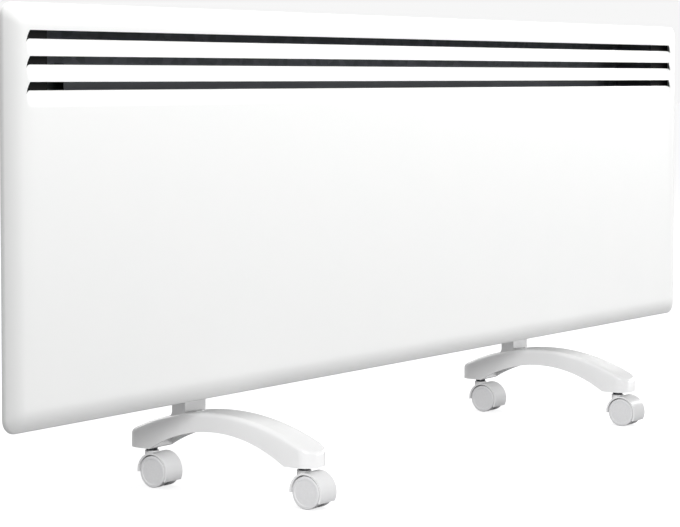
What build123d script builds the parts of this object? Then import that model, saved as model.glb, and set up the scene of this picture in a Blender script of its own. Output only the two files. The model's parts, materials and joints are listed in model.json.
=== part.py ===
from build123d import *
from math import cos, hypot, radians, sin, sqrt
import os

# Free-standing panel convector heater on two castored feet. Millimetres.
# X runs along the heater, the front faces -Y, Z is up. The origin is on the floor, under the middle of the
# heater's whole length and depth. "Left" and "right" are as seen by someone who faces the front.

# ---------------------------------------------------------------- driving dimensions
# whole heater
panel_length = 1325.0
panel_height = 400.0
floor_clearance = 107.0        # floor to the lower edge of the front panel
panel_lead = 13.5              # front face, ahead of the middle of the feet
casing_depth = 67.0            # front face to the back of the rear casing
flat_gap = 0.3                 # clearance between flat faces of pieces that turn or slide
fit_gap = 0.05                 # radial clearance of a pin in its hole
past = 1.0                     # how far a cutting shape runs past the face it cuts

# front panel
shell_sheet = 1.2
rim_run = 22.0                 # width of the rolled rim, seen from the front
rim_slope = 30.0               # degrees that the rim turns before its fold
rim_fold_radius = 3.5
rim_straight = 0.4             # flat wall between the fold and the hem
outline_radius = 15.0
face_corner_radius = 4.0       # corner of the flat face inside the rim
hem_width = 14.0               # flange turned in behind the rim
hem_corner = 2.0
rim_steps = 4                  # flats that stand for the rolled rim

# louvres
louvre_count = 3
louvre_pitch = 24.0
louvre_slit = 8.0              # open height of one louvre
louvre_drop = 25.8             # top edge of the panel to the first slit
louvre_margin = 30.0           # end of the panel to the end of a slit's top edge
louvre_tail = 5.0              # how far the slit's end sweeps outwards
louvre_tail_height = 11.5      # top of the slit to the tip of its tail
louvre_bow = 1.6               # how far the curve at a slit's end bows outwards
louvre_lean = 5.0              # how far a blade's upper edge stands behind the face
blade_corner = 3.0

# rear casing
casing_sheet = 1.0
casing_end_inset = 62.0        # end of the panel to the end of the box
casing_edge_inset = 14.0       # upper or lower edge of the panel to the box
casing_corner = 8.0
casing_back_round = 2.5
casing_screw_share = (-1, -0.5, 0, 0.5, 1)
flange_inset = 4.0             # the casing's flange stops short of the panel's outline
intake_slot_length = 34.0
intake_slot_width = 6.0
intake_pitch = 46.0
intake_row_gap = 14.0
bead_half_length = 480.0       # stiffening bead pressed into the back plate
bead_width = 9.0
bead_depth = 1.2
bead_spacing = 96.0
bracket_hole_radius = 2.75
bracket_spacing_x = 500.0
bracket_spacing_z = 200.0

# heating element and shield
element_end_room = 70.5        # end of the box to the end of the heating profile
element_height = 62.0
element_depth = 26.0
element_drop = 70.0            # bottom of the box to the element's axis
fin_sheet = 1.6
fin_count = 5                  # fins on each side of the core
core_radius = 7.0
rod_radius = 4.0
rod_overhang = 24.0            # heating rod past each end of the profile
bush_radius = 7.5
bush_length = 9.0
bracket_sheet = 1.5
bracket_height = 40.0
bracket_foot = 20.0
pin_radius = 1.6
pin_length = 12.0
shield_sheet = 0.8
shield_gap = 12.0              # shield to the back plate
shield_inset = 42.0            # top or bottom of the box to the shield's edge

# electrical pieces
cutout_radius = 8.0
cutout_depth = 7.0
cutout_blade = 6.0             # terminals that stand out of the cut-out
cutout_plate = 1.0
cutout_blade_sheet = 0.8
cutout_blade_width = 6.2
cutout_ear = 13.0              # centre of the cut-out to each of its screws
cutout_screw_head = 3.2
cutout_screw_tail = 2.0
cutout_inset = 100.0           # end of the heat shield to the cut-out
cutout_rise = 175.0
terminal_length = 30.0
terminal_depth = 18.0
terminal_height = 24.0
terminal_well = 2.2            # radius of a terminal's screw well
terminal_inset = 28.0          # end of the box to the terminal block's middle
terminal_gap = 8.0             # element bracket to the terminal block above it
earth_drop = 14.0              # terminal block to the earth stud
earth_stud_length = 12.0
earth_nut_radius = 4.0
earth_nut_height = 3.2
gland_inset = 30.0
gland_bore = 3.6
gland_radius = 6.0
gland_hex = 8.5
gland_hex_height = 5.0
gland_cap_radius = 7.2
gland_outside = 11.0
gland_inside = 9.0
gland_nut_height = 4.0
lead_radius = 1.3
lead_bend = 4.5
lead_sweep = 12.0              # wider bend where there is room
lead_end_bend = 7.0            # bend where a lead meets the heating rod's pin
lead_spacing = 1.6             # middle of the grommet to each of the two leads in it
lead_climb = 57.0              # live lead, straight up from the terminal block
lead_approach = 40.0           # straight run before or after the grommet
lead_slack = 60.0              # switched lead, from the cut-out to its last wide bend
lead_drop = 30.0
lead_clearance = 18.0          # leads clear of the heating profile
lead_floor_gap = 6.0
lead_part_gap = 10.0           # behind the switch and the thermostat
switch_tag_offset = 5.0
thermostat_tag_offset = 6.0
link_offset = 4.0

# control housing on the right-hand end of the box
control_length = 38.0          # along X
control_depth = 36.0
control_height = 128.0
control_wall = 2.0
control_drop = 34.0            # top of the panel to the top of the control housing
control_corner = 4.0
control_screw_inset = 12.0
control_screw_reach = 9.0
control_pillar_hole = 12.0
control_face_cut = 5.0
knob_drop = 36.0               # top of the control housing to the knob's axis
knob_radius = 12.5
knob_height = 9.0
knob_skirt = 2.2
knob_skirt_width = 2.0
knob_edge_round = 1.0
knob_grip_count = 18
knob_rest = 135.0              # degrees from straight up to the pointer at its lowest setting
knob_flute_radius = 1.6
knob_flute_inset = 1.2
knob_roof = 2.0                # knob left over the spindle's end
knob_counterbore = 1.2
pointer_width = 1.8
pointer_depth = 0.8
pointer_start = 4.0
spindle_radius = 3.0
spindle_flat = 1.5             # spindle's axis to its flat
spindle_round = 3.0            # spindle out of the housing before its flat starts
bushing_radius = 5.0
bushing_proud = 0.6
thermostat_floor = 3.0
thermostat_size = 26.0
thermostat_depth = 15.0
rocker_drop = 92.0             # top of the control housing to the rocker's pivot
rocker_length = 21.0
rocker_width = 11.0
rocker_proud = 2.4
rocker_depth = 4.0             # outer face of the housing to the rocker's pivot
rocker_pin_radius = 1.1
rocker_tilt = 9.0              # degrees each way from level
switch_wall = 1.4
switch_depth = 17.0
switch_flange = 2.5
switch_rim = 1.2
switch_corner = 1.5
rocker_taper = 0.8             # inner end of the rocker as a share of its outer end
lens_drop = 66.0
lens_radius = 2.6
lens_tail = 6.0
lens_rim_radius = 3.8
lens_rim_height = 0.8
lens_round = 0.5
grommet_radius = 6.0
grommet_lip = 1.5              # thickness of the lip on each side of the sheet
grommet_lip_height = 1.0
grommet_wall = 1.2

# fasteners
screw_radius = 2.0
screw_head_radius = 4.0
screw_head_height = 2.2
screw_tail = 3.0               # casing screw past the hem
rivet_nut_length = 9.0
rivet_nut_wall = 1.4
rivet_nut_collar = 1.2
rivet_nut_collar_length = 4.0
rivet_nut_floor = 1.0

# feet
foot_inset = 333.0             # end of the panel to the middle of a foot
arm_half_length = 122.0
arm_width = 38.0
arm_crown = 88.5               # floor to the top of the arch
arm_depth = 20.0               # height of the arm at its crown
arm_end_height = 16.0          # height of the flat at each end of the arm
arm_pad_height = 42.5          # floor to the flat under each end of the arm
arm_pad_start = 90.0           # middle of the foot to the start of that flat
arm_plan_corner = 15.0
arm_edge_round = 5.0
arm_wall = 3.0
post_width = 34.0
post_depth = 6.0               # blade behind the box
column_depth = 18.0            # the post's lower part, which also stands under the box
post_rise = 72.0               # bottom of the box to the top of the post
post_corner = 6.0
post_flare = 7.0
post_screw_pitch = 40.0
post_screw_inset = 14.0        # top of the post to its upper screw

# castors
castor_offset = 102.0          # middle of the foot to a castor's stem
castor_trail = 11.0            # stem to wheel axle
wheel_radius = 17.0
wheel_width = 10.0
wheel_gap = 0.5                # between a wheel and the web beside it
wheel_dish = 0.5               # depth of the recess in a wheel's outer face
wheel_dish_radius = 13.5
wheel_skin = 0.8               # wheel left over the axle's end
wheel_round = 1.2
wheel_hub_radius = 5.0
wheel_pocket = 5.0             # depth of the ring pocket in a wheel's inner face
web_width = 5.0
hood_gap = 1.3                 # between a wheel's tread and the hood
hood_wall = 2.0
hood_front_angle = 28.0        # degrees below level where the hood ends in front
hood_rear_angle = 4.0          # degrees below level where it ends behind
hood_lip = 0.4                 # hood past the wheels' outer faces
axle_radius = 2.0
hub_radius = 7.0
hood_boss_radius = 7.5
stem_radius = 4.0
stem_floor = 0.6               # boss left under the stem
stem_reach = 19.0              # stem in its socket
collar_radius = 6.0
collar_height = 3.0
stem_chamfer = 0.8
stem_groove_drop = 5.0
stem_groove_width = 1.4
stem_groove_depth = 0.6
socket_wall = 1.6
socket_length = 21.0
socket_flange_radius = 8.0
socket_flange = 1.2

# ---------------------------------------------------------------- places that follow from them
wheel_room_radius = wheel_radius + hood_gap
hood_radius = wheel_room_radius + hood_wall
front_reach = max(castor_offset + castor_trail + hood_radius, arm_half_length)
foot_middle_y = (front_reach - arm_half_length) / 2
panel_front_y = foot_middle_y - panel_lead
panel_bottom = floor_clearance
panel_top = floor_clearance + panel_height
panel_middle_z = (panel_bottom + panel_top) / 2
rim_turn = radians(rim_slope)
roll_radius = (rim_run - rim_fold_radius * (1 - sin(rim_turn))) / sin(rim_turn)
roll_depth = roll_radius * (1 - cos(rim_turn))
fold_depth = rim_fold_radius * cos(rim_turn)
rim_depth = roll_depth + fold_depth + rim_straight + shell_sheet
rim_rear_y = panel_front_y + rim_depth
flange_rear_y = rim_rear_y + casing_sheet
casing_back_y = panel_front_y + casing_depth
back_inner_y = casing_back_y - casing_sheet
box_length = panel_length - 2 * casing_end_inset
box_height = panel_height - 2 * casing_edge_inset
box_bottom = panel_bottom + casing_edge_inset
box_top = panel_top - casing_edge_inset
box_end_x = box_length / 2
element_length = box_length - 2 * element_end_room
box_middle_y = (flange_rear_y + casing_back_y) / 2
shield_y = back_inner_y - shield_gap                       # front face of the shield
element_y = (panel_front_y + shell_sheet + shield_y) / 2
element_z = box_bottom + element_drop
foot_x = panel_length / 2 - foot_inset
arm_end_rise = arm_crown - arm_pad_height - arm_end_height
arm_top_radius = (arm_half_length ** 2 + arm_end_rise ** 2) / (2 * arm_end_rise)
socket_face = arm_pad_height - socket_flange
hood_boss_top = socket_face - flat_gap - collar_height
stem_near_y = min(castor_trail - stem_radius, wheel_room_radius)
stem_bottom = wheel_radius + sqrt(wheel_room_radius ** 2 - stem_near_y ** 2) + stem_floor
control_x = box_end_x + control_length                     # outer face of the control housing
control_top = panel_top - control_drop
control_middle_z = control_top - control_height / 2
control_rear_y = flange_rear_y + control_depth
control_middle_y = (flange_rear_y + control_rear_y) / 2
knob_z = control_top - knob_drop
rocker_z = control_top - rocker_drop
lens_z = control_top - lens_drop
terminal_x = box_end_x - terminal_inset
terminal_z = element_z + bracket_height / 2 + terminal_gap + terminal_height / 2
gland_x = box_end_x - gland_inset
cutout_x = element_length / 2 - cutout_inset
cutout_z = box_bottom + cutout_rise


# ---------------------------------------------------------------- helpers
def slab(sketch, y_front, y_rear):
    """A sketch in X and Z, given thickness from y_front to y_rear."""
    plane = Plane(origin=(0, y_rear, 0), x_dir=(1, 0, 0), z_dir=(0, -1, 0))
    return extrude(plane * sketch, y_rear - y_front)


def bar(sketch, x_left, x_right):
    """A sketch in Y and Z, drawn out along X."""
    plane = Plane(origin=(x_left, 0, 0), x_dir=(0, 1, 0), z_dir=(1, 0, 0))
    return extrude(plane * sketch, x_right - x_left)


def column(sketch, z_low, z_high):
    """A sketch in X and Y, drawn up along Z."""
    return extrude(Plane.XY.offset(z_low) * sketch, z_high - z_low)


def block(x_range, y_range, z_range):
    """A plain box between two corners."""
    low = [min(r) for r in (x_range, y_range, z_range)]
    high = [max(r) for r in (x_range, y_range, z_range)]
    middle = [(a + b) / 2 for a, b in zip(low, high)]
    return Pos(*middle) * Box(*[b - a for a, b in zip(low, high)])


def rod_x(x_left, x_right, y, z, radius):
    return bar(Pos(y, z) * Circle(radius), x_left, x_right)


def rod_y(x, y_front, y_rear, z, radius):
    return slab(Pos(x, z) * Circle(radius), y_front, y_rear)


def rod_z(x, y, z_low, z_high, radius):
    return column(Pos(x, y) * Circle(radius), z_low, z_high)


def mirrored(piece):
    """The same piece on the other side of the middle plane."""
    return mirror(piece, about=Plane.YZ)


def group(pieces):
    """Several separate solids in one node."""
    return Compound(children=[solid for piece in pieces for solid in piece.solids()])


def save(name, piece):
    export_step(piece, f"parts/{name}.step")


# ---------------------------------------------------------------- front panel
def rim_profile():
    """(inset from the outline, depth behind the face, turn in degrees), from the rim's wall to the face."""
    points = []
    for step in range(rim_steps + 1):
        turn = radians(90 - (90 - rim_slope) * step / rim_steps)
        inset = rim_fold_radius * (1 - sin(turn))
        depth = roll_depth + fold_depth - rim_fold_radius * cos(turn)
        points.append((inset, depth, turn))
    for step in range(1, rim_steps + 1):
        turn = rim_turn * (1 - step / rim_steps)
        inset = rim_run - roll_radius * sin(turn)
        depth = roll_radius * (1 - cos(turn))
        points.append((inset, depth, turn))
    return points


def outline_at(inset, depth):
    """The panel's outline, inset, on a plane at a depth behind the face."""
    corner = outline_radius - (outline_radius - face_corner_radius) * min(inset / rim_run, 1)
    sketch = RectangleRounded(panel_length - 2 * inset, panel_height - 2 * inset, corner)
    plane = Plane(origin=(0, panel_front_y + depth, panel_middle_z), x_dir=(1, 0, 0), z_dir=(0, -1, 0))
    return plane * sketch


def shell_solid(wall, rear_depth):
    """Solid inside the rim's surface, moved in by a wall thickness."""
    sections = [outline_at(wall, rear_depth)]
    for inset, depth, turn in rim_profile():
        sections.append(outline_at(inset + wall * sin(turn), depth + wall * cos(turn)))
    return loft(sections, ruled=True)


def louvre_top(index):
    return panel_top - louvre_drop - index * louvre_pitch


def louvre_end():
    """Half the length of a louvre at its widest."""
    return panel_length / 2 - louvre_margin + louvre_tail


def louvre_window(index):
    """Opening in the face for one slit and the blade under it."""
    top = louvre_top(index)
    end = louvre_end()
    tip = top - louvre_tail_height
    low = top - louvre_pitch
    flat = end - louvre_tail
    outline = [
        Line((-end, low), (end, low)),
        Line((end, low), (end, tip)),
        ThreePointArc((end, tip), (end - louvre_bow, top - louvre_tail_height / 2), (flat, top)),
        Line((flat, top), (-flat, top)),
        ThreePointArc((-flat, top), (-end + louvre_bow, top - louvre_tail_height / 2), (-end, tip)),
        Line((-end, tip), (-end, low)),
    ]
    return make_face(outline)


def louvre_blade(index):
    """A blade that leans in at its top, with the cheeks that join its ends to the face."""
    low = louvre_top(index) - louvre_pitch
    rise = louvre_pitch - louvre_slit
    slope = hypot(rise, louvre_lean)
    end = louvre_end()
    leaning = Plane(origin=(0, panel_front_y, low), x_dir=(1, 0, 0), z_dir=(0, -rise, louvre_lean))
    outline = Pos(0, slope / 2) * Rectangle(2 * end, slope)
    outline = fillet(outline.vertices().sort_by(Axis.Y)[-2:], blade_corner)
    blade = extrude(leaning * outline, -shell_sheet)
    share = (louvre_pitch - louvre_tail_height) / rise
    tip_y = panel_front_y + louvre_lean * share
    side = make_face(Polyline(
        (panel_front_y, low),
        (panel_front_y, low + rise * share),
        (tip_y + shell_sheet, low + rise * share),
        (panel_front_y + shell_sheet, low),
        close=True,
    ))
    cheek = bar(side, end, end + shell_sheet)
    return blade + cheek + mirrored(cheek)


def front_panel():
    shell = shell_solid(0, rim_depth) - shell_solid(shell_sheet, rim_depth - shell_sheet)
    opening = RectangleRounded(panel_length - 2 * hem_width, panel_height - 2 * hem_width, hem_corner)
    shell -= slab(Pos(0, panel_middle_z) * opening, rim_rear_y - 2 * shell_sheet, rim_rear_y + past)
    for index in range(louvre_count):
        shell -= slab(louvre_window(index), panel_front_y - past, panel_front_y + 2 * shell_sheet)
    for index in range(louvre_count):
        shell += louvre_blade(index)
    for x, z in casing_screw_places():
        shell -= rod_y(x, rim_rear_y - 2 * shell_sheet, rim_rear_y + past, z, screw_radius + fit_gap)
    return shell


# ---------------------------------------------------------------- rear casing
def casing_screw_places():
    """Screws through the flange into the hem: along the top and the bottom, and one at each end."""
    span = panel_length / 2 - hem_width / 2 - screw_head_radius - outline_radius
    edge = (hem_width + shell_sheet) / 2
    rows = (panel_bottom + edge, panel_top - edge)
    places = [(span * share, z) for z in rows for share in casing_screw_share]
    places += [(side * (panel_length / 2 - edge), panel_middle_z) for side in (-1, 1)]
    return places


def foot_screw_places():
    top = box_bottom + post_rise - post_screw_inset
    return [(side * foot_x, top - row * post_screw_pitch) for side in (-1, 1) for row in (0, 1)]


def rear_casing():
    flange = RectangleRounded(panel_length - 2 * flange_inset, panel_height - 2 * flange_inset,
                              outline_radius - flange_inset)
    box_outline = RectangleRounded(box_length, box_height, casing_corner)
    box_hollow = RectangleRounded(box_length - 2 * casing_sheet, box_height - 2 * casing_sheet,
                                  casing_corner - casing_sheet)
    middle = Pos(0, panel_middle_z)
    box = slab(middle * box_outline, rim_rear_y, casing_back_y)
    box = fillet(box.faces().sort_by(Axis.Y)[-1].edges(), casing_back_round)
    hollow = slab(middle * box_hollow, rim_rear_y, back_inner_y)
    hollow = fillet(hollow.faces().sort_by(Axis.Y)[-1].edges(), casing_back_round - casing_sheet)
    casing = slab(middle * flange, rim_rear_y, flange_rear_y) + box - hollow
    for row in (-1, 1):
        place = Pos(0, panel_middle_z + row * bead_spacing / 2)
        ridge = place * SlotCenterToCenter(2 * bead_half_length, bead_width + 2 * casing_sheet)
        groove = place * SlotCenterToCenter(2 * bead_half_length, bead_width)
        casing += slab(ridge, back_inner_y - bead_depth, back_inner_y + fit_gap)
        casing -= slab(groove, casing_back_y - bead_depth, casing_back_y + past)
    holes = []
    intake_count = int((box_length - 4 * casing_corner) // intake_pitch)
    for index in range(intake_count):
        x = (index - (intake_count - 1) / 2) * intake_pitch
        if abs(x - gland_x) < intake_slot_length:
            continue
        for row in (-1, 1):
            slot = SlotOverall(intake_slot_length, intake_slot_width)
            place = Pos(x, box_middle_y + row * intake_row_gap / 2)
            holes.append(column(place * slot, box_bottom - past, box_bottom + 2 * casing_sheet))
    for side in (-1, 1):
        for row in (-1, 1):
            x = side * bracket_spacing_x / 2
            z = panel_middle_z + row * bracket_spacing_z / 2
            holes.append(rod_y(x, back_inner_y - past, casing_back_y + past, z, bracket_hole_radius))
    for x, z in foot_screw_places():
        hole_radius = screw_radius + rivet_nut_wall + fit_gap
        holes.append(rod_y(x, back_inner_y - past, casing_back_y + past, z, hole_radius))
    for x, z in casing_screw_places():
        holes.append(rod_y(x, rim_rear_y - past, flange_rear_y + past, z, screw_radius + fit_gap))
    holes.append(rod_z(gland_x, box_middle_y, box_bottom - past, box_bottom + 2 * casing_sheet,
                       gland_radius + fit_gap))
    grommet_hole = grommet_radius - grommet_lip_height
    end_inner_x = box_end_x - 2 * casing_sheet
    holes.append(rod_x(end_inner_x, box_end_x + past, control_middle_y, control_middle_z, grommet_hole))
    for z in control_screw_heights():
        holes.append(rod_x(end_inner_x, box_end_x + past, control_middle_y, z, screw_radius + fit_gap))
    return casing - holes


# ---------------------------------------------------------------- heating element and shield
def shield():
    half = element_length / 2
    low = box_bottom + shield_inset
    high = box_top - shield_inset
    plate = block((-half, half), (shield_y, shield_y + shield_sheet), (low, high))
    lower = block((-half, half), (shield_y, back_inner_y), (low, low + shield_sheet))
    upper = block((-half, half), (shield_y, back_inner_y), (high - shield_sheet, high))
    ledges = plate + lower + upper
    for x, z in cutout_screw_places():
        ledges -= rod_y(x, shield_y - past, shield_y + shield_sheet + past, z, screw_radius + fit_gap)
    return ledges


def element_profile():
    """Aluminium profile: a tube with upright fins in front and behind, joined by a web above and below."""
    pitch = element_depth / fin_count
    section = Circle(core_radius)
    section += Rectangle(fin_sheet, element_height)
    for row in (-1, 1):
        section += Pos(0, row * element_height / 4) * Rectangle(element_depth, fin_sheet)
    for index in range(fin_count):
        y = (index - (fin_count - 1) / 2) * pitch
        for row in (-1, 1):
            height = element_height / 2 - core_radius - fin_sheet
            middle = row * (element_height - height) / 2
            section += Pos(y, middle) * Rectangle(fin_sheet, height)
    section -= Circle(rod_radius + fit_gap)
    section = Pos(element_y, element_z) * section
    return bar(section, -element_length / 2, element_length / 2)


def heating_rod():
    half = element_length / 2 + rod_overhang
    rod = rod_x(-half, half, element_y, element_z, rod_radius)
    pins = rod_x(-half - pin_length, half + pin_length, element_y, element_z, pin_radius)
    return rod + pins


def bush_x():
    """Inner face of the bush at each end of the profile."""
    return element_length / 2 + flat_gap


def element_bushes():
    start = bush_x()
    ring = rod_x(start, start + bush_length, element_y, element_z, bush_radius)
    ring -= rod_x(start - past, start + bush_length + past, element_y, element_z, rod_radius + fit_gap)
    return group([ring, mirrored(ring)])


def element_brackets():
    """Bent plates that hold the bushes and stand on the back plate."""
    start = bush_x() + (bush_length - bracket_sheet) / 2
    end = start + bracket_sheet
    front = element_y - bush_radius - 2 * bracket_sheet
    low = element_z - bracket_height / 2
    high = element_z + bracket_height / 2
    plate = block((start, end), (front, back_inner_y), (low, high))
    foot = block((start, start + bracket_foot), (back_inner_y - bracket_sheet, back_inner_y), (low, high))
    bracket = plate + foot
    bracket -= rod_x(start - past, end + past, element_y, element_z, bush_radius + fit_gap)
    return group([bracket, mirrored(bracket)])


# ---------------------------------------------------------------- electrical pieces
def cutout_screw_places():
    return [(cutout_x + side * cutout_ear, cutout_z) for side in (-1, 1)]


def thermal_cutout():
    ears = SlotCenterToCenter(2 * cutout_ear, 4 * screw_radius)
    body = slab(Pos(cutout_x, cutout_z) * ears, shield_y - cutout_plate, shield_y)
    body += rod_y(cutout_x, shield_y - cutout_depth, shield_y, cutout_z, cutout_radius)
    blade_tip = shield_y - cutout_depth - cutout_blade
    for side in (-1, 1):
        x = cutout_x + side * cutout_radius / 2
        body += block((x - cutout_blade_sheet / 2, x + cutout_blade_sheet / 2),
                      (blade_tip, shield_y - cutout_depth),
                      (cutout_z - cutout_blade_width / 2, cutout_z + cutout_blade_width / 2))
    for x, z in cutout_screw_places():
        body -= rod_y(x, shield_y - cutout_plate - past, shield_y + past, z, screw_radius + fit_gap)
    return body


def cutout_screws():
    screws = []
    for x, z in cutout_screw_places():
        seat = shield_y - cutout_plate
        screw = rod_y(x, seat - screw_head_height, seat, z, cutout_screw_head)
        screw += rod_y(x, seat, shield_y + shield_sheet + cutout_screw_tail, z, screw_radius)
        screws.append(screw)
    return group(screws)


def terminal_block():
    front = back_inner_y - terminal_depth
    body = block((terminal_x - terminal_length / 2, terminal_x + terminal_length / 2), (front, back_inner_y),
                 (terminal_z - terminal_height / 2, terminal_z + terminal_height / 2))
    for index in (-1, 0, 1):
        x = terminal_x + index * terminal_length / 3
        body -= rod_y(x, front - past, front + terminal_depth / 2, terminal_z, terminal_well)
    return body


def earth_stud_z():
    return terminal_z - terminal_height / 2 - earth_drop


def earth_stud():
    """Stud and nut on the back plate, under the terminal block."""
    z = earth_stud_z()
    stud = rod_y(terminal_x, back_inner_y - earth_stud_length, back_inner_y, z, screw_radius)
    hexagon = Pos(terminal_x, z) * RegularPolygon(earth_nut_radius, 6)
    nut = slab(hexagon, back_inner_y - earth_nut_height, back_inner_y)
    return stud + nut


def cable_gland():
    hexagon = Pos(gland_x, box_middle_y) * RegularPolygon(gland_hex, 6)
    hex_low = box_bottom - gland_hex_height
    low = box_bottom - gland_outside
    high = box_bottom + gland_inside
    body = column(hexagon, hex_low, box_bottom)
    body += rod_z(gland_x, box_middle_y, low, hex_low, gland_cap_radius)
    body += rod_z(gland_x, box_middle_y, box_bottom, high, gland_radius)
    return body - rod_z(gland_x, box_middle_y, low - past, high + past, gland_bore)


def gland_nut():
    low = box_bottom + casing_sheet
    hexagon = Pos(gland_x, box_middle_y) * RegularPolygon(gland_hex, 6)
    high = low + gland_nut_height
    nut = column(hexagon, low, high)
    return nut - rod_z(gland_x, box_middle_y, low - past, high + past, gland_radius + fit_gap)


def lead(points, bends):
    """A lead along straight runs joined by arcs."""
    path = FilletPolyline(*points, radius=bends)
    start = Plane(origin=path @ 0, z_dir=path % 0)
    return sweep(start * Circle(lead_radius), path=path)


def internal_leads():
    """Live lead to the switch, link to the thermostat, switched lead to the cut-out, the two leads of the
    heating rod, and the earth lead."""
    pole_y = back_inner_y - terminal_depth / 2
    pole_top = terminal_z + terminal_height / 2
    pole_low = terminal_z - terminal_height / 2
    pole_step = terminal_length / 3
    live_x = terminal_x + pole_step
    neutral_x = terminal_x - pole_step
    run_y = control_middle_y
    link_y = run_y + link_offset
    upper_z = control_middle_z + lead_spacing
    lower_z = control_middle_z - lead_spacing
    part_x = control_x - switch_depth
    thermostat_x = control_x - control_wall - thermostat_depth
    bend_x = part_x - lead_part_gap
    live = lead([(live_x, pole_y, pole_top),
                 (live_x, pole_y, pole_top + lead_climb),
                 (live_x, run_y, lower_z - lead_approach),
                 (live_x, run_y, lower_z),
                 (bend_x, run_y, lower_z),
                 (bend_x, run_y, rocker_z + switch_tag_offset),
                 (part_x, run_y, rocker_z + switch_tag_offset)],
                [lead_sweep, lead_sweep, lead_bend, lead_bend, lead_bend])
    link = lead([(part_x, link_y, rocker_z - switch_tag_offset),
                 (bend_x, link_y, rocker_z - switch_tag_offset),
                 (bend_x, link_y, knob_z - thermostat_tag_offset),
                 (thermostat_x, link_y, knob_z - thermostat_tag_offset)],
                [lead_bend, lead_bend])
    blade_y = shield_y - cutout_depth - cutout_blade
    blade_gap = cutout_radius / 2
    switched = lead([(thermostat_x, run_y, knob_z + thermostat_tag_offset),
                     (bend_x, run_y, knob_z + thermostat_tag_offset),
                     (bend_x, run_y, upper_z),
                     (box_end_x - lead_approach, run_y, upper_z),
                     (cutout_x + lead_slack, run_y, cutout_z + lead_drop),
                     (cutout_x + blade_gap, run_y, cutout_z),
                     (cutout_x + blade_gap, blade_y, cutout_z)],
                    [lead_bend, lead_bend, lead_sweep, lead_sweep, lead_bend])
    pin_end = element_length / 2 + rod_overhang + pin_length
    turn_x = pin_end + lead_clearance
    over_z = element_z + element_height / 2 + lead_clearance
    returned = lead([(cutout_x - blade_gap, blade_y, cutout_z),
                     (cutout_x - blade_gap, element_y, cutout_z),
                     (cutout_x - blade_gap, element_y, over_z),
                     (turn_x, element_y, over_z),
                     (turn_x, element_y, element_z),
                     (pin_end, element_y, element_z)],
                    [lead_bend, lead_sweep, lead_sweep, lead_end_bend])
    floor_z = box_bottom + casing_sheet + lead_floor_gap
    neutral = lead([(neutral_x, pole_y, pole_low),
                    (neutral_x, pole_y, floor_z),
                    (-turn_x, pole_y, floor_z),
                    (-turn_x, element_y, floor_z + lead_drop),
                    (-turn_x, element_y, element_z),
                    (-pin_end, element_y, element_z)],
                   [lead_sweep, lead_sweep, lead_sweep, lead_end_bend])
    stud_top = earth_stud_z() + screw_radius
    earth = rod_z(terminal_x, pole_y, stud_top, pole_low, lead_radius)
    return group([live, link, switched, returned, neutral, earth])


# ---------------------------------------------------------------- control housing
def control_screw_heights():
    return [control_middle_z + row * (control_height / 2 - control_screw_inset) for row in (-1, 1)]


def control_housing():
    """Moulded housing, open towards the box, with a bushing hole, a rocker cut-out and a lens hole."""
    outline = Pos(control_middle_y, control_middle_z) * RectangleRounded(
        control_depth, control_height, control_corner)
    inner = Pos(control_middle_y, control_middle_z) * RectangleRounded(
        control_depth - 2 * control_wall, control_height - 2 * control_wall, control_corner - control_wall)
    body = bar(outline, box_end_x, control_x)
    body = fillet(body.faces().sort_by(Axis.X)[-1].edges(), control_wall)
    body -= bar(inner, box_end_x - past, control_x - control_wall)
    for z in control_screw_heights():
        pillar = rod_x(box_end_x, control_x - control_wall, control_middle_y, z, 2 * screw_radius)
        body += pillar - rod_x(box_end_x - past, box_end_x + control_pillar_hole, control_middle_y, z,
                               screw_radius + fit_gap)
    cut_from = control_x - control_face_cut
    cut_to = control_x + past
    body -= rod_x(cut_from, cut_to, control_middle_y, knob_z, bushing_radius + fit_gap)
    body -= rod_x(cut_from, cut_to, control_middle_y, lens_z, lens_radius + fit_gap)
    cutout = Pos(control_middle_y, rocker_z) * Rectangle(
        rocker_width + 2 * switch_wall + 2 * fit_gap, rocker_length + 2 * switch_wall + 2 * fit_gap)
    return body - bar(cutout, cut_from, cut_to)


def control_screws():
    """Screws from inside the box into the housing's pillars."""
    screws = []
    for z in control_screw_heights():
        seat = box_end_x - casing_sheet
        screw = rod_x(seat - screw_head_height, seat, control_middle_y, z, screw_head_radius)
        screw += rod_x(seat, box_end_x + control_screw_reach, control_middle_y, z, screw_radius)
        screws.append(screw)
    return group(screws)


def thermostat_body():
    inner = control_x - control_wall
    half = thermostat_size / 2
    body = block((inner - thermostat_depth, inner), (control_middle_y - half, control_middle_y + half),
                 (knob_z - half, knob_z + half))
    end = control_x + bushing_proud
    body += rod_x(inner, end, control_middle_y, knob_z, bushing_radius)
    floor = inner - thermostat_depth + thermostat_floor
    return body - rod_x(floor, end + past, control_middle_y, knob_z, spindle_radius + fit_gap)


def thermostat_spindle():
    start = control_x - control_wall - thermostat_depth + thermostat_floor + flat_gap
    end = control_x + knob_height - knob_roof
    spindle = rod_x(start, end, control_middle_y, knob_z, spindle_radius)
    flat = block((control_x + spindle_round, end + past),
                 (control_middle_y - spindle_radius, control_middle_y + spindle_radius),
                 (knob_z + spindle_flat, knob_z + spindle_radius + past))
    return at_lowest_setting(spindle - flat)


def at_lowest_setting(piece):
    """Turned about the spindle from its drawn place, with its pointer or flat up, to the lowest setting."""
    return piece.rotate(Axis((control_x, control_middle_y, knob_z), (1, 0, 0)), knob_rest)


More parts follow.
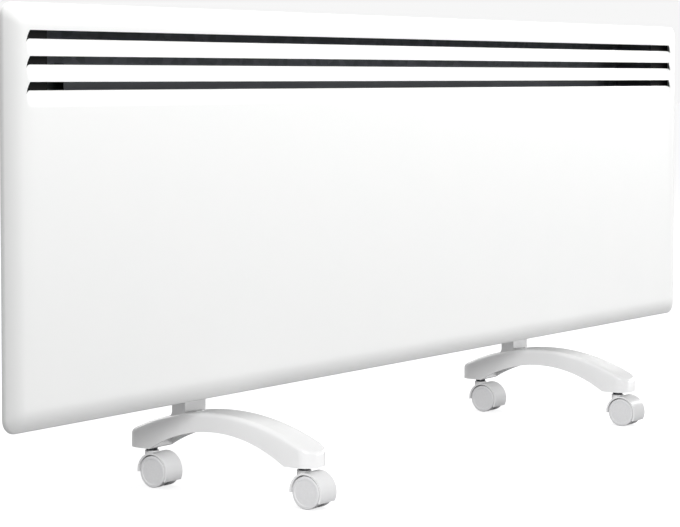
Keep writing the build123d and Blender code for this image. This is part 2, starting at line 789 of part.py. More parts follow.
def thermostat_knob():
    """Skirted knob with a scalloped grip, one pointer groove and a D-shaped hole."""
    start = control_x + flat_gap
    skirt_end = start + knob_skirt
    end = control_x + knob_height
    hole_end = end - knob_roof
    knob = rod_x(start, skirt_end, control_middle_y, knob_z, knob_radius)
    grip = rod_x(skirt_end, end, control_middle_y, knob_z, knob_radius - knob_skirt_width)
    grip = fillet(grip.faces().sort_by(Axis.X)[-1].edges(), knob_edge_round)
    flute_reach = knob_radius - knob_flute_inset
    for index in range(knob_grip_count):
        turn = radians(360 * index / knob_grip_count)
        y = control_middle_y + flute_reach * sin(turn)
        z = knob_z + flute_reach * cos(turn)
        grip -= rod_x(skirt_end, end + past, y, z, knob_flute_radius)
    knob += grip
    knob -= rod_x(start - past, start + knob_counterbore, control_middle_y, knob_z, bushing_radius + past)
    socket = rod_x(start - past, hole_end, control_middle_y, knob_z, spindle_radius + fit_gap)
    socket -= block((control_x + spindle_round + flat_gap, end),
                    (control_middle_y - 2 * spindle_radius, control_middle_y + 2 * spindle_radius),
                    (knob_z + spindle_flat + fit_gap, knob_z + 2 * spindle_radius))
    knob -= socket
    pointer = block((end - pointer_depth, end + past),
                    (control_middle_y - pointer_width / 2, control_middle_y + pointer_width / 2),
                    (knob_z + pointer_start, knob_z + knob_radius))
    return at_lowest_setting(knob - pointer)


def pilot_lens():
    lens = rod_x(control_x - control_wall - lens_tail, control_x, control_middle_y, lens_z, lens_radius)
    lens += rod_x(control_x, control_x + lens_rim_height, control_middle_y, lens_z, lens_rim_radius)
    return fillet(lens.faces().sort_by(Axis.X)[-1].edges(), lens_round)


def rocker_pivot_x():
    return control_x - rocker_depth


def switch_body():
    """Snap-in frame with a floor; the rocker turns in its well on two pins."""
    wide = rocker_width + 2 * switch_wall
    tall = rocker_length + 2 * switch_wall
    place = Pos(control_middle_y, rocker_z)
    frame = bar(place * Rectangle(wide, tall), control_x - switch_depth, control_x)
    rim = RectangleRounded(wide + 2 * switch_flange, tall + 2 * switch_flange, switch_corner)
    frame += bar(place * rim, control_x, control_x + switch_rim)
    well = bar(place * Rectangle(rocker_width, rocker_length), control_x - switch_depth + control_wall,
               control_x + switch_rim + past)
    pin_holes = rod_y(rocker_pivot_x(), control_middle_y - wide, control_middle_y + wide, rocker_z,
                      rocker_pin_radius + fit_gap)
    return frame - well - pin_holes


def switch_rocker():
    """Rocker with its pins, level about its pivot when half way, drawn in its off position."""
    pivot_x = rocker_pivot_x()
    crest = rocker_depth + rocker_proud
    tilt = radians(rocker_tilt)
    half = (rocker_length / 2 - flat_gap - crest * sin(tilt)) / cos(tilt)
    foot_half = rocker_taper * half
    tail = pivot_x - rocker_depth / 2
    outline = make_face(Polyline(
        (-half, pivot_x + crest),
        (0, pivot_x + crest - rocker_proud / 2),
        (half, pivot_x + crest),
        (foot_half, tail),
        (-foot_half, tail),
        close=True,
    ))
    width = rocker_width - 2 * flat_gap
    plane = Plane(origin=(0, control_middle_y - width / 2, rocker_z), x_dir=(0, 0, 1), z_dir=(0, 1, 0))
    rocker = extrude(plane * outline, width)
    pin_half = rocker_width / 2 + switch_wall - flat_gap
    rocker += rod_y(pivot_x, control_middle_y - pin_half, control_middle_y + pin_half, rocker_z,
                    rocker_pin_radius)
    axis = Axis((pivot_x, control_middle_y, rocker_z), (0, 1, 0))
    return rocker.rotate(axis, rocker_tilt)


def wire_grommet():
    """Rubber ring in the hole between the box and the control housing."""
    inner_x = box_end_x - casing_sheet
    groove = grommet_radius - grommet_lip_height
    lips = rod_x(inner_x - grommet_lip, inner_x, control_middle_y, control_middle_z, grommet_radius)
    lips += rod_x(box_end_x, box_end_x + grommet_lip, control_middle_y, control_middle_z, grommet_radius)
    ring = lips + rod_x(inner_x, box_end_x, control_middle_y, control_middle_z, groove - fit_gap)
    return ring - rod_x(inner_x - grommet_lip - past, box_end_x + grommet_lip + past, control_middle_y,
                        control_middle_z, groove - grommet_wall)


# ---------------------------------------------------------------- fasteners
def casing_screws():
    screws = []
    for x, z in casing_screw_places():
        head = rod_y(x, flange_rear_y, flange_rear_y + screw_head_height, z, screw_head_radius)
        shank = rod_y(x, rim_rear_y - shell_sheet - screw_tail, flange_rear_y, z, screw_radius)
        screws.append(head + shank)
    return group(screws)


def rivet_nuts():
    nuts = []
    for x, z in foot_screw_places():
        outer = screw_radius + rivet_nut_wall
        tip = back_inner_y - rivet_nut_length
        nut = rod_y(x, tip, casing_back_y, z, outer)
        nut += rod_y(x, back_inner_y - rivet_nut_collar_length, back_inner_y, z, outer + rivet_nut_collar)
        nut -= rod_y(x, tip - past, casing_back_y + past, z, screw_radius + fit_gap)
        nuts.append(nut)
    return group(nuts)


def foot_screws():
    screws = []
    for x, z in foot_screw_places():
        seat = casing_back_y + post_depth
        head = rod_y(x, seat, seat + screw_head_height, z, screw_head_radius)
        shank = rod_y(x, back_inner_y - rivet_nut_length + rivet_nut_floor, seat, z, screw_radius)
        screws.append(head + shank)
    return group(screws)


# ---------------------------------------------------------------- feet
def arc_height(crown, radius, y):
    """Height of an arc that is highest at the middle of the foot."""
    return crown - radius + sqrt(radius ** 2 - y ** 2)


def arm_bottom_radius():
    rise = arm_crown - arm_depth - arm_pad_height
    return (arm_pad_start ** 2 + rise ** 2) / (2 * rise)


def foot(side):
    """Arched arm, hollow underneath between its ends, with an upright that goes up the back of the casing."""
    reach = arm_half_length + past
    end_z = arc_height(arm_crown, arm_top_radius, reach)
    bottom_crown = arm_crown - arm_depth
    outline = make_face([
        ThreePointArc((-reach, end_z), (0, arm_crown), (reach, end_z)),
        Line((reach, end_z), (reach, arm_pad_height)),
        Line((reach, arm_pad_height), (arm_pad_start, arm_pad_height)),
        ThreePointArc((arm_pad_start, arm_pad_height), (0, bottom_crown), (-arm_pad_start, arm_pad_height)),
        Line((-arm_pad_start, arm_pad_height), (-reach, arm_pad_height)),
        Line((-reach, arm_pad_height), (-reach, end_z)),
    ])
    arm = bar(outline, -arm_width / 2 - past, arm_width / 2 + past)
    arm &= column(RectangleRounded(arm_width, 2 * arm_half_length, arm_plan_corner), 0, arm_crown + past)
    arm = fillet(arm.faces().sort_by(Axis.Z)[-1].edges(), arm_edge_round)
    column_rear = casing_back_y - foot_middle_y + post_depth
    column_front = column_rear - column_depth
    hollow_end = arm_pad_start - arm_wall
    for y_from, y_to in ((-hollow_end, column_front - arm_wall), (column_rear + arm_wall, hollow_end)):
        arm -= hollow_under_arm(y_from, y_to)
    return Pos(side * foot_x, foot_middle_y, 0) * (arm + foot_post() - stem_holes() - post_holes())


def hollow_under_arm(y_from, y_to):
    radius = arm_top_radius - arm_wall
    crown = arm_crown - arm_wall
    middle = (y_from + y_to) / 2
    outline = make_face([
        ThreePointArc((y_from, arc_height(crown, radius, y_from)),
                      (middle, arc_height(crown, radius, middle)),
                      (y_to, arc_height(crown, radius, y_to))),
        Line((y_to, arc_height(crown, radius, y_to)), (y_to, 0)),
        Line((y_to, 0), (y_from, 0)),
        Line((y_from, 0), (y_from, arc_height(crown, radius, y_from))),
    ])
    return bar(outline, arm_wall - arm_width / 2, arm_width / 2 - arm_wall)


def foot_post():
    """A column up to the bottom of the box, and a blade that goes on up behind it."""
    blade_front = casing_back_y - foot_middle_y
    rear = blade_front + post_depth
    front = rear - column_depth
    shoulder = box_bottom - fit_gap
    top = box_bottom + post_rise
    root = arc_height(arm_crown, arm_top_radius, rear) - arm_wall - past
    flare_y = rear + post_flare
    flare_root = arc_height(arm_crown, arm_top_radius, flare_y) - past
    flare_top = flare_root + post_flare
    bow = post_flare * (1 - cos(radians(45)))
    outline = make_face([
        Line((front, root), (front, shoulder)),
        Line((front, shoulder), (blade_front, shoulder)),
        Line((blade_front, shoulder), (blade_front, top)),
        Line((blade_front, top), (rear, top)),
        Line((rear, top), (rear, flare_top)),
        ThreePointArc((rear, flare_top), (rear + bow, flare_root + bow), (flare_y, flare_root)),
        Line((flare_y, flare_root), (flare_y, flare_root - arm_wall)),
        Line((flare_y, flare_root - arm_wall), (front, root)),
    ])
    post = bar(outline, -post_width / 2, post_width / 2)
    corners = [edge for edge in post.edges().filter_by(Axis.Y) if edge.center().Z > top - fit_gap]
    return fillet(corners, post_corner)


def post_holes():
    front = casing_back_y - foot_middle_y
    return [rod_y(0, front - past, front + post_depth + past, z, screw_radius + fit_gap)
            for x, z in foot_screw_places() if x > 0]


def stem_holes():
    return [rod_z(0, y, 0, arm_pad_height + socket_length, stem_radius + fit_gap + socket_wall)
            for y in (-castor_offset, castor_offset)]


def stem_sockets():
    """Sleeves pressed up into the ends of the feet."""
    sockets = []
    for name, x, y in castor_places():
        inner = stem_radius + fit_gap
        sleeve = rod_z(x, y, socket_face, arm_pad_height + socket_length, inner + socket_wall)
        sleeve += rod_z(x, y, socket_face, arm_pad_height, socket_flange_radius)
        sockets.append(sleeve - rod_z(x, y, socket_face - past, arm_pad_height + socket_length + past, inner))
    return group(sockets)


# ---------------------------------------------------------------- castors
def castor_places():
    """Name and stem position of each castor."""
    return [
        ("front_left", -foot_x, foot_middle_y - castor_offset),
        ("front_right", foot_x, foot_middle_y - castor_offset),
        ("rear_left", -foot_x, foot_middle_y + castor_offset),
        ("rear_right", foot_x, foot_middle_y + castor_offset),
    ]


def castor_hood():
    """Housing with a middle web, a hood over both wheels and a boss for the stem. The axle is at the origin
    of Y and at the wheels' height; the stem stands behind it by the castor's trail."""
    inner = wheel_room_radius
    outer = hood_radius
    half_width = web_width / 2 + wheel_gap + wheel_width + hood_lip
    hub = Pos(0, wheel_radius)
    ring = Circle(outer) - Circle(inner)
    reach = 3 * outer
    front_cut = radians(180 + hood_front_angle)
    rear_cut = radians(-hood_rear_angle)
    below = make_face(Polyline(
        (0, 0),
        (reach * cos(front_cut), reach * sin(front_cut)),
        (0, -reach),
        (reach * cos(rear_cut), reach * sin(rear_cut)),
        close=True,
    ))
    hood = bar(hub * (ring - below), -half_width, half_width)
    web_outline = Circle(outer) - Pos(0, -hub_radius - outer) * Rectangle(2 * outer, 2 * outer)
    web = bar(hub * web_outline, -web_width / 2, web_width / 2)
    boss = rod_z(0, castor_trail, wheel_radius + hub_radius, hood_boss_top, hood_boss_radius)
    wheel_room = rod_x(-half_width, half_width, 0, wheel_radius, inner)
    boss -= wheel_room
    hood = hood + boss + web
    hood -= rod_z(0, castor_trail, stem_bottom, hood_boss_top + past, stem_radius + fit_gap / 2)
    return hood - rod_x(-half_width, half_width, 0, wheel_radius, axle_radius + fit_gap / 2)


def castor_stem():
    """Steel stem with a collar, and a ring groove near its top."""
    top = socket_face + stem_reach
    stem = rod_z(0, castor_trail, stem_bottom + fit_gap, top, stem_radius)
    stem = chamfer(stem.faces().sort_by(Axis.Z)[-1].edges(), stem_chamfer)
    stem += rod_z(0, castor_trail, hood_boss_top, hood_boss_top + collar_height, collar_radius)
    groove_low = top - stem_groove_drop
    groove_high = groove_low + stem_groove_width
    groove = (rod_z(0, castor_trail, groove_low, groove_high, stem_radius + past)
              - rod_z(0, castor_trail, groove_low, groove_high, stem_radius - stem_groove_depth))
    return stem - groove


def castor_axle():
    half = web_width / 2 + wheel_gap + wheel_width - wheel_dish - wheel_skin - flat_gap
    return rod_x(-half, half, 0, wheel_radius, axle_radius)


def castor_wheel():
    """Right-hand wheel of a pair: rounded tread, shallow dish outside, ring pocket inside."""
    start = web_width / 2 + wheel_gap
    end = start + wheel_width
    wheel = rod_x(start, end, 0, wheel_radius, wheel_radius)
    wheel = fillet(wheel.edges().filter_by(GeomType.CIRCLE), wheel_round)
    wheel -= rod_x(end - wheel_dish, end + past, 0, wheel_radius, wheel_dish_radius)
    pocket_end = start + wheel_pocket
    wheel -= (rod_x(start - past, pocket_end, 0, wheel_radius, wheel_dish_radius)
              - rod_x(start - past, pocket_end, 0, wheel_radius, wheel_hub_radius))
    return wheel - rod_x(start - past, end - wheel_dish - wheel_skin, 0, wheel_radius, axle_radius + fit_gap)


# ---------------------------------------------------------------- write every sub-part
os.makedirs("parts", exist_ok=True)
save("front_panel", front_panel())
save("rear_casing", rear_casing())
save("heat_shield", shield())
save("element_profile", element_profile())
save("heating_rod", heating_rod())
save("element_bushes", element_bushes())
save("element_brackets", element_brackets())
save("thermal_cutout", thermal_cutout())
save("cutout_screws", cutout_screws())
save("terminal_block", terminal_block())
save("earth_stud", earth_stud())
save("cable_gland", cable_gland())
save("gland_nut", gland_nut())
save("control_housing", control_housing())
save("control_screws", control_screws())
save("thermostat_body", thermostat_body())
save("thermostat_spindle", thermostat_spindle())
save("thermostat_knob", thermostat_knob())
save("pilot_lens", pilot_lens())
save("switch_body", switch_body())
save("switch_rocker", switch_rocker())
save("wire_grommet", wire_grommet())
save("internal_leads", internal_leads())
save("casing_screws", casing_screws())
save("rivet_nuts", rivet_nuts())
save("foot_screws", foot_screws())
save("foot_left", foot(-1))
save("foot_right", foot(1))
save("stem_sockets", stem_sockets())

hood, stem, axle, wheel = castor_hood(), castor_stem(), castor_axle(), castor_wheel()
for name, x, y in castor_places():
    place = Pos(x, y - castor_trail, 0)
    save(f"castor_hood_{name}", place * hood)
    save(f"castor_stem_{name}", place * stem)
    save(f"castor_axle_{name}", place * axle)
    save(f"castor_wheel_{name}_a", place * mirrored(wheel))
    save(f"castor_wheel_{name}_b", place * wheel)
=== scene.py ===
import bpy
import bmesh
import json
from math import cos, pi, radians, sin
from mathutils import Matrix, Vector

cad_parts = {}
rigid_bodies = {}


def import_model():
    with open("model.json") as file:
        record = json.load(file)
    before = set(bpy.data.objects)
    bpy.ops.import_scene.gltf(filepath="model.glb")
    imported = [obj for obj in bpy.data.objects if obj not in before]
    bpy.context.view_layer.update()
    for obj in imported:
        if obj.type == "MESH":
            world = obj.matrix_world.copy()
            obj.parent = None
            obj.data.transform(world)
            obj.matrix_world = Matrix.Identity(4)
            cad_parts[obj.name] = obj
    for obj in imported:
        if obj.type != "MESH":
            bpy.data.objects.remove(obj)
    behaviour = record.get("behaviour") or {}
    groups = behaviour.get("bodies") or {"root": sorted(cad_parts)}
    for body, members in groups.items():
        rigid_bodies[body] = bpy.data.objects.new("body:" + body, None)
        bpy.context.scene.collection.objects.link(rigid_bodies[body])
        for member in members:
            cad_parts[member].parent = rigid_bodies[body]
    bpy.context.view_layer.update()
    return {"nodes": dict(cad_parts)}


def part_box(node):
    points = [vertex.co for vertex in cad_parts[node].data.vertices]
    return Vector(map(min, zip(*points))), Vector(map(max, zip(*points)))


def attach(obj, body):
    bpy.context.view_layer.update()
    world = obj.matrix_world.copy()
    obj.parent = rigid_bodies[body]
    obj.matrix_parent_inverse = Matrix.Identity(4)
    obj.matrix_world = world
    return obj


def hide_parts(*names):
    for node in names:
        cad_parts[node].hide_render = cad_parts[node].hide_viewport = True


# The looks of a free-standing panel convector heater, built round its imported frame. Metres.
# X runs along the heater, the front faces -Y, Z is up.

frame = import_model()
MM = 0.001

# ---------------------------------------------------------------- sizes
# front panel
SHEET = 1.2 * MM
RIM_RUN = 22.0 * MM               # width of the rolled rim, seen from the front
RIM_TURN = radians(30.0)          # how far the rim turns before its fold
FOLD_RADIUS = 3.5 * MM
HEM_WIDTH = 14.0 * MM
HEM_BEND = 0.7 * MM
HEM_MIDDLE = 0.4                  # middle ring of the hem, as a share of its width
BEND_MIDDLE = 0.3                 # middle of the hem's bend, as a share of its run
OUTLINE_RADIUS = 15.0 * MM
FACE_CORNER = 3.0 * MM
ROLL_STEPS = 12
FOLD_STEPS = 8
CORNER_STEPS = 14
CORNER_LEAST = 2.0 * MM           # least outline radius of the hem's inner edge

# louvres
LOUVRE_COUNT = 3
LOUVRE_PITCH = 24.0 * MM
LOUVRE_SLIT = 8.0 * MM
LOUVRE_DROP = 25.8 * MM           # top edge of the panel to the first slit
LOUVRE_MARGIN = 25.0 * MM         # end of the panel to the tip of a slit's tail
LOUVRE_TAIL = 5.0 * MM
TAIL_HEIGHT = 11.5 * MM
TAIL_BULGE = 4.3 * MM             # control point of the tail's curve, from its inner end
LOUVRE_LEAN = 5.0 * MM
BLADE_FADE = 12.5 * MM            # length over which a blade's end comes out to the face
BLADE_ROUND = 8.5 * MM
BLADE_EASE = 0.22                 # share of a blade's height that is its bend at the face
BLADE_TIP = 2.2                   # power by which a blade's edge runs down to its tip
BLADE_STEPS = 10
TAIL_STEPS = 8
EDGE_STEPS = 4
MIDDLE_REACH = 600.0 * MM         # middle of the panel to the end of the coarse columns
COARSE_COLUMN = 60.0 * MM
FINE_COLUMN = 8.0 * MM
FADE_COLUMN = 1.5 * MM

# finish of meshes
SOFT_EDGE = radians(32.0)         # below this angle an edge is shaded smooth
ROUNDED_EDGE = radians(35.0)      # above this angle an edge is rounded
ROUNDED_STEPS = 2
FLAT_EDGE = radians(0.6)          # faces that meet at less than this become one
MERGE = 0.004 * MM                # vertices closer than this become one
SHELL_MERGE = 0.01 * MM
MOSTLY = 0.5                      # share of a normal along an axis from which a face looks that way

# cross-recess screws
HEAD_RADIUS = 4.0 * MM
HEAD_HEIGHT = 2.2 * MM
HEAD_EDGE = 0.6 * MM              # straight part of the head's side
HEAD_DOME = 0.7                   # power that fills the dome out towards its rim
SHANK_RADIUS = 2.0 * MM
SHANK_TIP = 0.6 * MM
RECESS_ARM = 2.3 * MM
RECESS_WIDTH = 0.9 * MM
RECESS_DEPTH = 1.4 * MM
RECESS_TAPER = 0.6                # arm at the bottom of the recess, as a share of its mouth
RECESS_PAST = 1.1 * MM            # how far the recess's cutter stands out of the head
SCREW_STEPS = 32
DOME_STEPS = 6
CASING_ROW_REACH = 636.5 * MM     # middle to the last screw of a row

# printed marks
INK = 0.06 * MM
DIAL_START = radians(-135)
DIAL_END = radians(135)
DIAL_TICKS = 11
DIAL_RADIUS = 13.4 * MM
TICK_SHORT = 0.7 * MM
TICK_LONG = 2.2 * MM
TICK_WIDTH = 0.55 * MM
STROKE = 0.6 * MM
SIGN_HALF = 1.6 * MM              # half the height of the rocker's signs
ZERO_HALF = 1.05 * MM             # half the width of the zero
ZERO_STEPS = 28
ROCKER_OUT = 0.85                 # least share along X of the normals of the rocker's two faces

# camera, from a fit of the photograph to the panel, feet and castors
CAMERA_PLACE = Vector((-2111.1, -1432.0, 438.2)) * MM
CAMERA_YAW = radians(54.08)       # from straight on, turned to the right
CAMERA_PITCH = radians(2.5)       # downwards
CAMERA_SHIFT = -0.1338            # the photograph is cut from below the middle of its lens
FOCAL_PIXELS = 2200.5
PHOTO_WIDTH = 680                 # pixels
SENSOR = 36.0                     # in the camera's own millimetres
FAR = 100.0

# studio light
WORLD_LIGHT = 0.42
BACKGROUND = 0.93                 # as the camera sees it
FLOOR_SIZE = 60.0
FLOOR_LIFT = 0.80                 # glow that only the camera sees
SOFTBOXES = {                     # place, target, width and height in metres, power in watts
    "top_softbox": ((0, -0.8, 2.0), (0, 0, 0.3), 4.0, 1.4, 54.0),
    "front_softbox": ((5.0, -4.4, 3.0), (0, 0, 0.3), 3.6, 2.4, 166.0),
    "side_softbox": ((4.0, -0.6, 1.2), (0.6, 0, 0.3), 1.2, 1.0, 36.0),
    "rear_softbox": ((0.4, 3.4, 2.2), (0, 0, 0.3), 3.0, 1.6, 60.0),
    "foot_fill": ((-2.4, -2.0, 1.3), (0, 0, 0.05), 0.9, 0.7, 66.0),
    "under_panel_fill": ((3.0, -2.4, 0.14), (0, 0.05, 0.1), 1.6, 0.16, 52.0),
}


# ---------------------------------------------------------------- materials
def linear(hex_colour):
    """An sRGB hex colour as linear RGBA."""
    parts = [int(hex_colour[i:i + 2], 16) / 255 for i in (1, 3, 5)]
    return [p / 12.92 if p <= 0.04045 else ((p + 0.055) / 1.055) ** 2.4 for p in parts] + [1.0]


def add(tree, kind, sockets=None, **settings):
    """Adds a node with its settings, and sets its input sockets or links them. A node that is linked as a
    whole stands for its first output."""
    made = tree.nodes.new(kind)
    for name, value in settings.items():
        setattr(made, name, value)
    for name, value in (sockets or {}).items():
        if isinstance(value, bpy.types.Node):
            value = next(socket for socket in value.outputs if socket.enabled)
        if isinstance(value, bpy.types.NodeSocket):
            tree.links.new(value, made.inputs[name])
        else:
            made.inputs[name].default_value = value
    return made


def start_material(name):
    """A new material with its empty tree, and the place on the object in metres."""
    made = bpy.data.materials.new(name)
    made.use_nodes = True
    tree = made.node_tree
    tree.nodes.clear()
    return made, tree, add(tree, "ShaderNodeTexCoord").outputs["Object"]


def end_material(made, sockets):
    """Ends a material's tree in its shader."""
    shader = add(made.node_tree, "ShaderNodeBsdfPrincipled", sockets)
    add(made.node_tree, "ShaderNodeOutputMaterial", {"Surface": shader})
    return made


def powder_coat(name, colour, shade, roughness):
    """Polyester powder coat on pressed steel: a fine orange peel that softens every reflection, and a gloss
    that drifts a little over hand-sized patches."""
    made, tree, place = start_material(name)
    peel = add(tree, "ShaderNodeTexNoise", {"Vector": place, "Scale": 1 / (1.6 * MM), "Detail": 2.0})
    drift = add(tree, "ShaderNodeTexNoise", {"Vector": place, "Scale": 1 / (90 * MM), "Detail": 1.0})
    tint = add(tree, "ShaderNodeMix", {"Factor": drift, "A": linear(colour), "B": linear(shade)},
               data_type="RGBA")
    gloss = add(tree, "ShaderNodeMapRange",
                {"Value": drift, "To Min": roughness - 0.05, "To Max": roughness + 0.07})
    bump = add(tree, "ShaderNodeBump", {"Height": peel, "Strength": 0.12, "Distance": 0.06 * MM})
    return end_material(made, {"Base Color": tint, "Roughness": gloss, "Normal": bump})


def galvanised():
    """Hot-dip galvanised steel: zinc crystals just under a centimetre wide, dull and mottled."""
    made, tree, place = start_material("galvanised_steel")
    crystal = add(tree, "ShaderNodeTexVoronoi", {"Vector": place, "Scale": 1 / (9 * MM)})
    split = add(tree, "ShaderNodeSeparateColor", {"Color": crystal.outputs["Color"]})
    red, green = split.outputs["Red"], split.outputs["Green"]
    tint = add(tree, "ShaderNodeMix", {"Factor": red, "A": linear("#797c80"), "B": linear("#888b90")},
               data_type="RGBA")
    gloss = add(tree, "ShaderNodeMapRange", {"Value": green, "To Min": 0.5, "To Max": 0.6})
    return end_material(made, {"Base Color": tint, "Roughness": gloss, "Metallic": 0.85})


def painted_shade_coat():
    """Painted shade: a sooty black, quite matt coat with soft streaks along a brush. It stands in for the
    shade at the ends of the slits.
    """
    made, tree, place = start_material("painted_shade_black_coat")
    brush = add(tree, "ShaderNodeMapping",
                {"Vector": place, "Scale": (1 / (30 * MM), 1 / (8 * MM), 1 / (2 * MM))})
    streak = add(tree, "ShaderNodeTexNoise", {"Vector": brush, "Scale": 1.0, "Detail": 2.0})
    tint = add(tree, "ShaderNodeMix", {"Factor": streak, "A": linear("#121212"), "B": linear("#1b1b1b")},
               data_type="RGBA")
    gloss = add(tree, "ShaderNodeMapRange", {"Value": streak, "To Min": 0.68, "To Max": 0.85})
    return end_material(made, {"Base Color": tint, "Roughness": gloss})


def moulded_gloss(name, colour, shade, roughness):
    """ABS from a polished mould: glossy, with slow waves from shrinkage and a gloss dulled here and there by
    handling."""
    made, tree, place = start_material(name)
    wave = add(tree, "ShaderNodeTexNoise", {"Vector": place, "Scale": 1 / (26 * MM), "Detail": 1.0})
    handled = add(tree, "ShaderNodeTexNoise", {"Vector": place, "Scale": 1 / (7 * MM), "Detail": 1.0})
    tint = add(tree, "ShaderNodeMix", {"Factor": wave, "A": linear(colour), "B": linear(shade)},
               data_type="RGBA")
    gloss = add(tree, "ShaderNodeMapRange",
                {"Value": handled, "To Min": roughness - 0.02, "To Max": roughness + 0.04})
    bump = add(tree, "ShaderNodeBump", {"Height": wave, "Strength": 0.15, "Distance": 0.25 * MM})
    return end_material(made, {"Base Color": tint, "Roughness": gloss, "Normal": bump, "IOR": 1.54})


def moulded_grain(name, colour, shade, roughness, grain):
    """Matt skin of a pressed, printed or spark-grained piece: pebbles that break up every reflection, and
    faint clouds of tone. Real pebbles are about 0.1 mm, too fine to show, so they are drawn at the size
    given."""
    made, tree, place = start_material(name)
    pebble = add(tree, "ShaderNodeTexNoise", {"Vector": place, "Scale": 1 / grain, "Detail": 3.0})
    cloud = add(tree, "ShaderNodeTexNoise", {"Vector": place, "Scale": 1 / (18 * MM), "Detail": 1.0})
    tint = add(tree, "ShaderNodeMix", {"Factor": cloud, "A": linear(colour), "B": linear(shade)},
               data_type="RGBA")
    gloss = add(tree, "ShaderNodeMapRange",
                {"Value": pebble, "To Min": roughness - 0.06, "To Max": roughness + 0.1})
    bump = add(tree, "ShaderNodeBump", {"Height": pebble, "Strength": 0.35, "Distance": 0.12 * MM})
    return end_material(made, {"Base Color": tint, "Roughness": gloss, "Normal": bump, "IOR": 1.53})


def drawn_metal(name, colour, roughness, along, line):
    """Rolled, extruded or turned metal: fine lines along one axis (0 for X, 1 for Y). Real ones are a few
    hundredths of a millimetre wide, too fine to show, so they are drawn at the width given."""
    made, tree, place = start_material(name)
    stretch = [1 / line] * 3
    stretch[along] = 1 / (60 * line)
    scaled = add(tree, "ShaderNodeMapping", {"Vector": place, "Scale": stretch})
    lines = add(tree, "ShaderNodeTexNoise", {"Vector": scaled, "Scale": 1.0, "Detail": 3.0})
    gloss = add(tree, "ShaderNodeMapRange",
                {"Value": lines, "To Min": roughness - 0.08, "To Max": roughness + 0.12})
    bump = add(tree, "ShaderNodeBump", {"Height": lines, "Strength": 0.3, "Distance": 0.03 * MM})
    return end_material(made, {"Base Color": linear(colour), "Roughness": gloss, "Normal": bump,
                               "Metallic": 1.0})


def plated(name, colour, shade, roughness):
    """Zinc-plated or blackened steel: cloudy passivation over a turned surface."""
    made, tree, place = start_material(name)
    cloud = add(tree, "ShaderNodeTexNoise", {"Vector": place, "Scale": 1 / (3.5 * MM), "Detail": 3.0})
    tint = add(tree, "ShaderNodeMix", {"Factor": cloud, "A": linear(colour), "B": linear(shade)},
               data_type="RGBA")
    gloss = add(tree, "ShaderNodeMapRange",
                {"Value": cloud, "To Min": roughness - 0.07, "To Max": roughness + 0.1})
    return end_material(made, {"Base Color": tint, "Roughness": gloss, "Metallic": 1.0})


def wheel_nylon(name, colour, shade):
    """Moulded nylon of a wheel: pale and waxy, with small grey scuffs from the floor."""
    made, tree, place = start_material(name)
    scuff = add(tree, "ShaderNodeTexNoise", {"Vector": place, "Scale": 1 / (2.4 * MM), "Detail": 4.0})
    tint = add(tree, "ShaderNodeMix", {"Factor": scuff, "A": linear(colour), "B": linear(shade)},
               data_type="RGBA")
    gloss = add(tree, "ShaderNodeMapRange", {"Value": scuff, "To Min": 0.34, "To Max": 0.55})
    bump = add(tree, "ShaderNodeBump", {"Height": scuff, "Strength": 0.2, "Distance": 0.05 * MM})
    return end_material(made, {"Base Color": tint, "Roughness": gloss, "Normal": bump, "IOR": 1.53})


def amber_lens():
    """Clear amber polycarbonate over an unlit pilot lamp: deep colour, with pips that scatter the light."""
    made, tree, place = start_material("amber_polycarbonate")
    pips = add(tree, "ShaderNodeTexVoronoi", {"Vector": place, "Scale": 1 / (0.9 * MM)})
    bump = add(tree, "ShaderNodeBump", {"Height": pips, "Strength": 0.4, "Distance": 0.1 * MM})
    return end_material(made, {"Base Color": linear("#e06a12"), "Roughness": 0.12, "Normal": bump,
                               "IOR": 1.58, "Transmission Weight": 0.45})


def tempered_sheath():
    """Stainless sheath of the heating rod, straw to blue-grey where it has run hot."""
    made, tree, place = start_material("tempered_stainless")
    bands = add(tree, "ShaderNodeTexNoise", {"Vector": place, "Scale": 1 / (40 * MM), "Detail": 2.0})
    tint = add(tree, "ShaderNodeMix", {"Factor": bands, "A": linear("#8b7450"), "B": linear("#5a626c")},
               data_type="RGBA")
    gloss = add(tree, "ShaderNodeMapRange", {"Value": bands, "To Min": 0.28, "To Max": 0.45})
    return end_material(made, {"Base Color": tint, "Roughness": gloss, "Metallic": 1.0})


PANEL_COAT = powder_coat("powder_coat_panel", "#f7f7f6", "#f4f5f4", 0.36)
CASING_COAT = powder_coat("powder_coat_casing", "#eeefee", "#eaebeb", 0.42)
GALVANISED = galvanised()
# painted shade: black coat on the casing's flange, standing in for the shade at the ends of the slits
PAINTED_SHADE_BLACK = painted_shade_coat()
FOOT_ABS = moulded_gloss("gloss_abs_feet", "#f1f1f1", "#ededed", 0.24)
HOOD_ABS = moulded_gloss("gloss_abs_hoods", "#f4f4f4", "#f0f0f1", 0.2)
WHEEL_NYLON = wheel_nylon("nylon_wheels", "#e9e9ea", "#dededf")
STEM_STEEL = plated("blackened_steel", "#5d5e61", "#3e3f42", 0.36)
ZINC = plated("zinc_plated_steel", "#c3c6c8", "#a8abae", 0.33)
SHIELD_METAL = drawn_metal("rolled_aluminium", "#808286", 0.34, along=0, line=0.7 * MM)
ELEMENT_METAL = drawn_metal("anodised_aluminium", "#4b4b4e", 0.42, along=0, line=0.5 * MM)
ROD_STEEL = tempered_sheath()
STEATITE = moulded_grain("steatite_ceramic", "#e6e1d4", "#dcd5c6", 0.6, 0.5 * MM)
PHENOLIC = moulded_grain("phenolic_moulding", "#2c221d", "#231b17", 0.45, 0.6 * MM)
NATURAL_NYLON = moulded_grain("natural_polyamide", "#e0ddd2", "#d7d3c6", 0.5, 0.8 * MM)
BRASS = drawn_metal("turned_brass", "#b8934f", 0.28, along=1, line=0.3 * MM)
GLAND_NYLON = moulded_grain("grey_polyamide", "#c0c3c6", "#b5b8bb", 0.48, 0.7 * MM)
LEAD_SILICONE = moulded_grain("silicone_sleeve", "#8a3320", "#7a2b1a", 0.5, 0.6 * MM)
